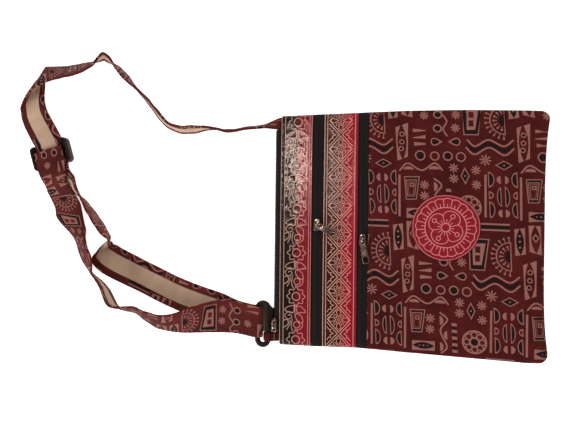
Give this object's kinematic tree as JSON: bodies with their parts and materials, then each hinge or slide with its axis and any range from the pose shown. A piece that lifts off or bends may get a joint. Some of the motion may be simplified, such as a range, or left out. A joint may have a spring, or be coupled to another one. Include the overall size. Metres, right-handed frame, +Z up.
{
  "type": "handbag",
  "caption": "Flat shoulder handbag of block-printed cotton with embossed leather bands, zips, a round leather patch and a long adjustable strap, lying on its back.",
  "frame": {"origin": "middle of the back panel, on the surface that the bag lies on", "axes": "+X from the mouth to the bottom of the bag, +Y to the side where the strap is sewn in, +Z up out of the front"},
  "size_m": [0.5955, 0.3303, 0.0386],
  "materials": {
    "printed_cotton": "matt block-printed cotton, dark maroon with salmon and black figures",
    "embossed_leather": "half-gloss embossed leather, black shading to crimson with tan lines",
    "crimson_leather": "half-gloss embossed crimson leather with pink lines",
    "zip_tape": "woven black tape",
    "zip_metal": "worn dark nickel",
    "webbing": "woven beige cotton webbing",
    "buckle_plastic": "black moulded plastic"
  },
  "bodies": {
    "bag": {"back_panel": "printed_cotton", "front_panel": "printed_cotton", "leather_band_upper": "embossed_leather", "leather_band_lower": "embossed_leather", "zip_tape_upper": "zip_tape", "zip_tape_lower": "zip_tape", "zip_tape_mouth": "zip_tape", "round_patch": "crimson_leather", "zip_slider_upper": "zip_metal", "zip_slider_lower": "zip_metal", "zip_slider_mouth": "zip_metal", "strap_cover": "printed_cotton", "strap_webbing": "webbing", "strap_slider": "buckle_plastic", "strap_ring": "buckle_plastic", "ring_tab": "printed_cotton"},
    "pull_upper": {"zip_pull_upper": "zip_metal"},
    "pull_lower": {"zip_pull_lower": "zip_metal"},
    "pull_mouth": {"zip_pull_mouth": "zip_metal"}
  },
  "joints": [
    {"name": "pull_upper_flip", "type": "hinge", "parent": "bag", "child": "pull_upper", "pos_m": [-0.094, 0.007, 0.01422], "axis": [-0.4695, -0.8829, 0], "range_deg": [0, 120]},
    {"name": "pull_lower_flip", "type": "hinge", "parent": "bag", "child": "pull_lower", "pos_m": [-0.0455, -0.008, 0.01561], "axis": [-0.9848, -0.1736, 0], "range_deg": [0, 120]},
    {"name": "pull_mouth_flip", "type": "hinge", "parent": "bag", "child": "pull_mouth", "pos_m": [-0.14091, -0.101, 0.00998], "axis": [-0.8939, -0.1045, -0.436], "range_deg": [0, 100]}
  ]
}
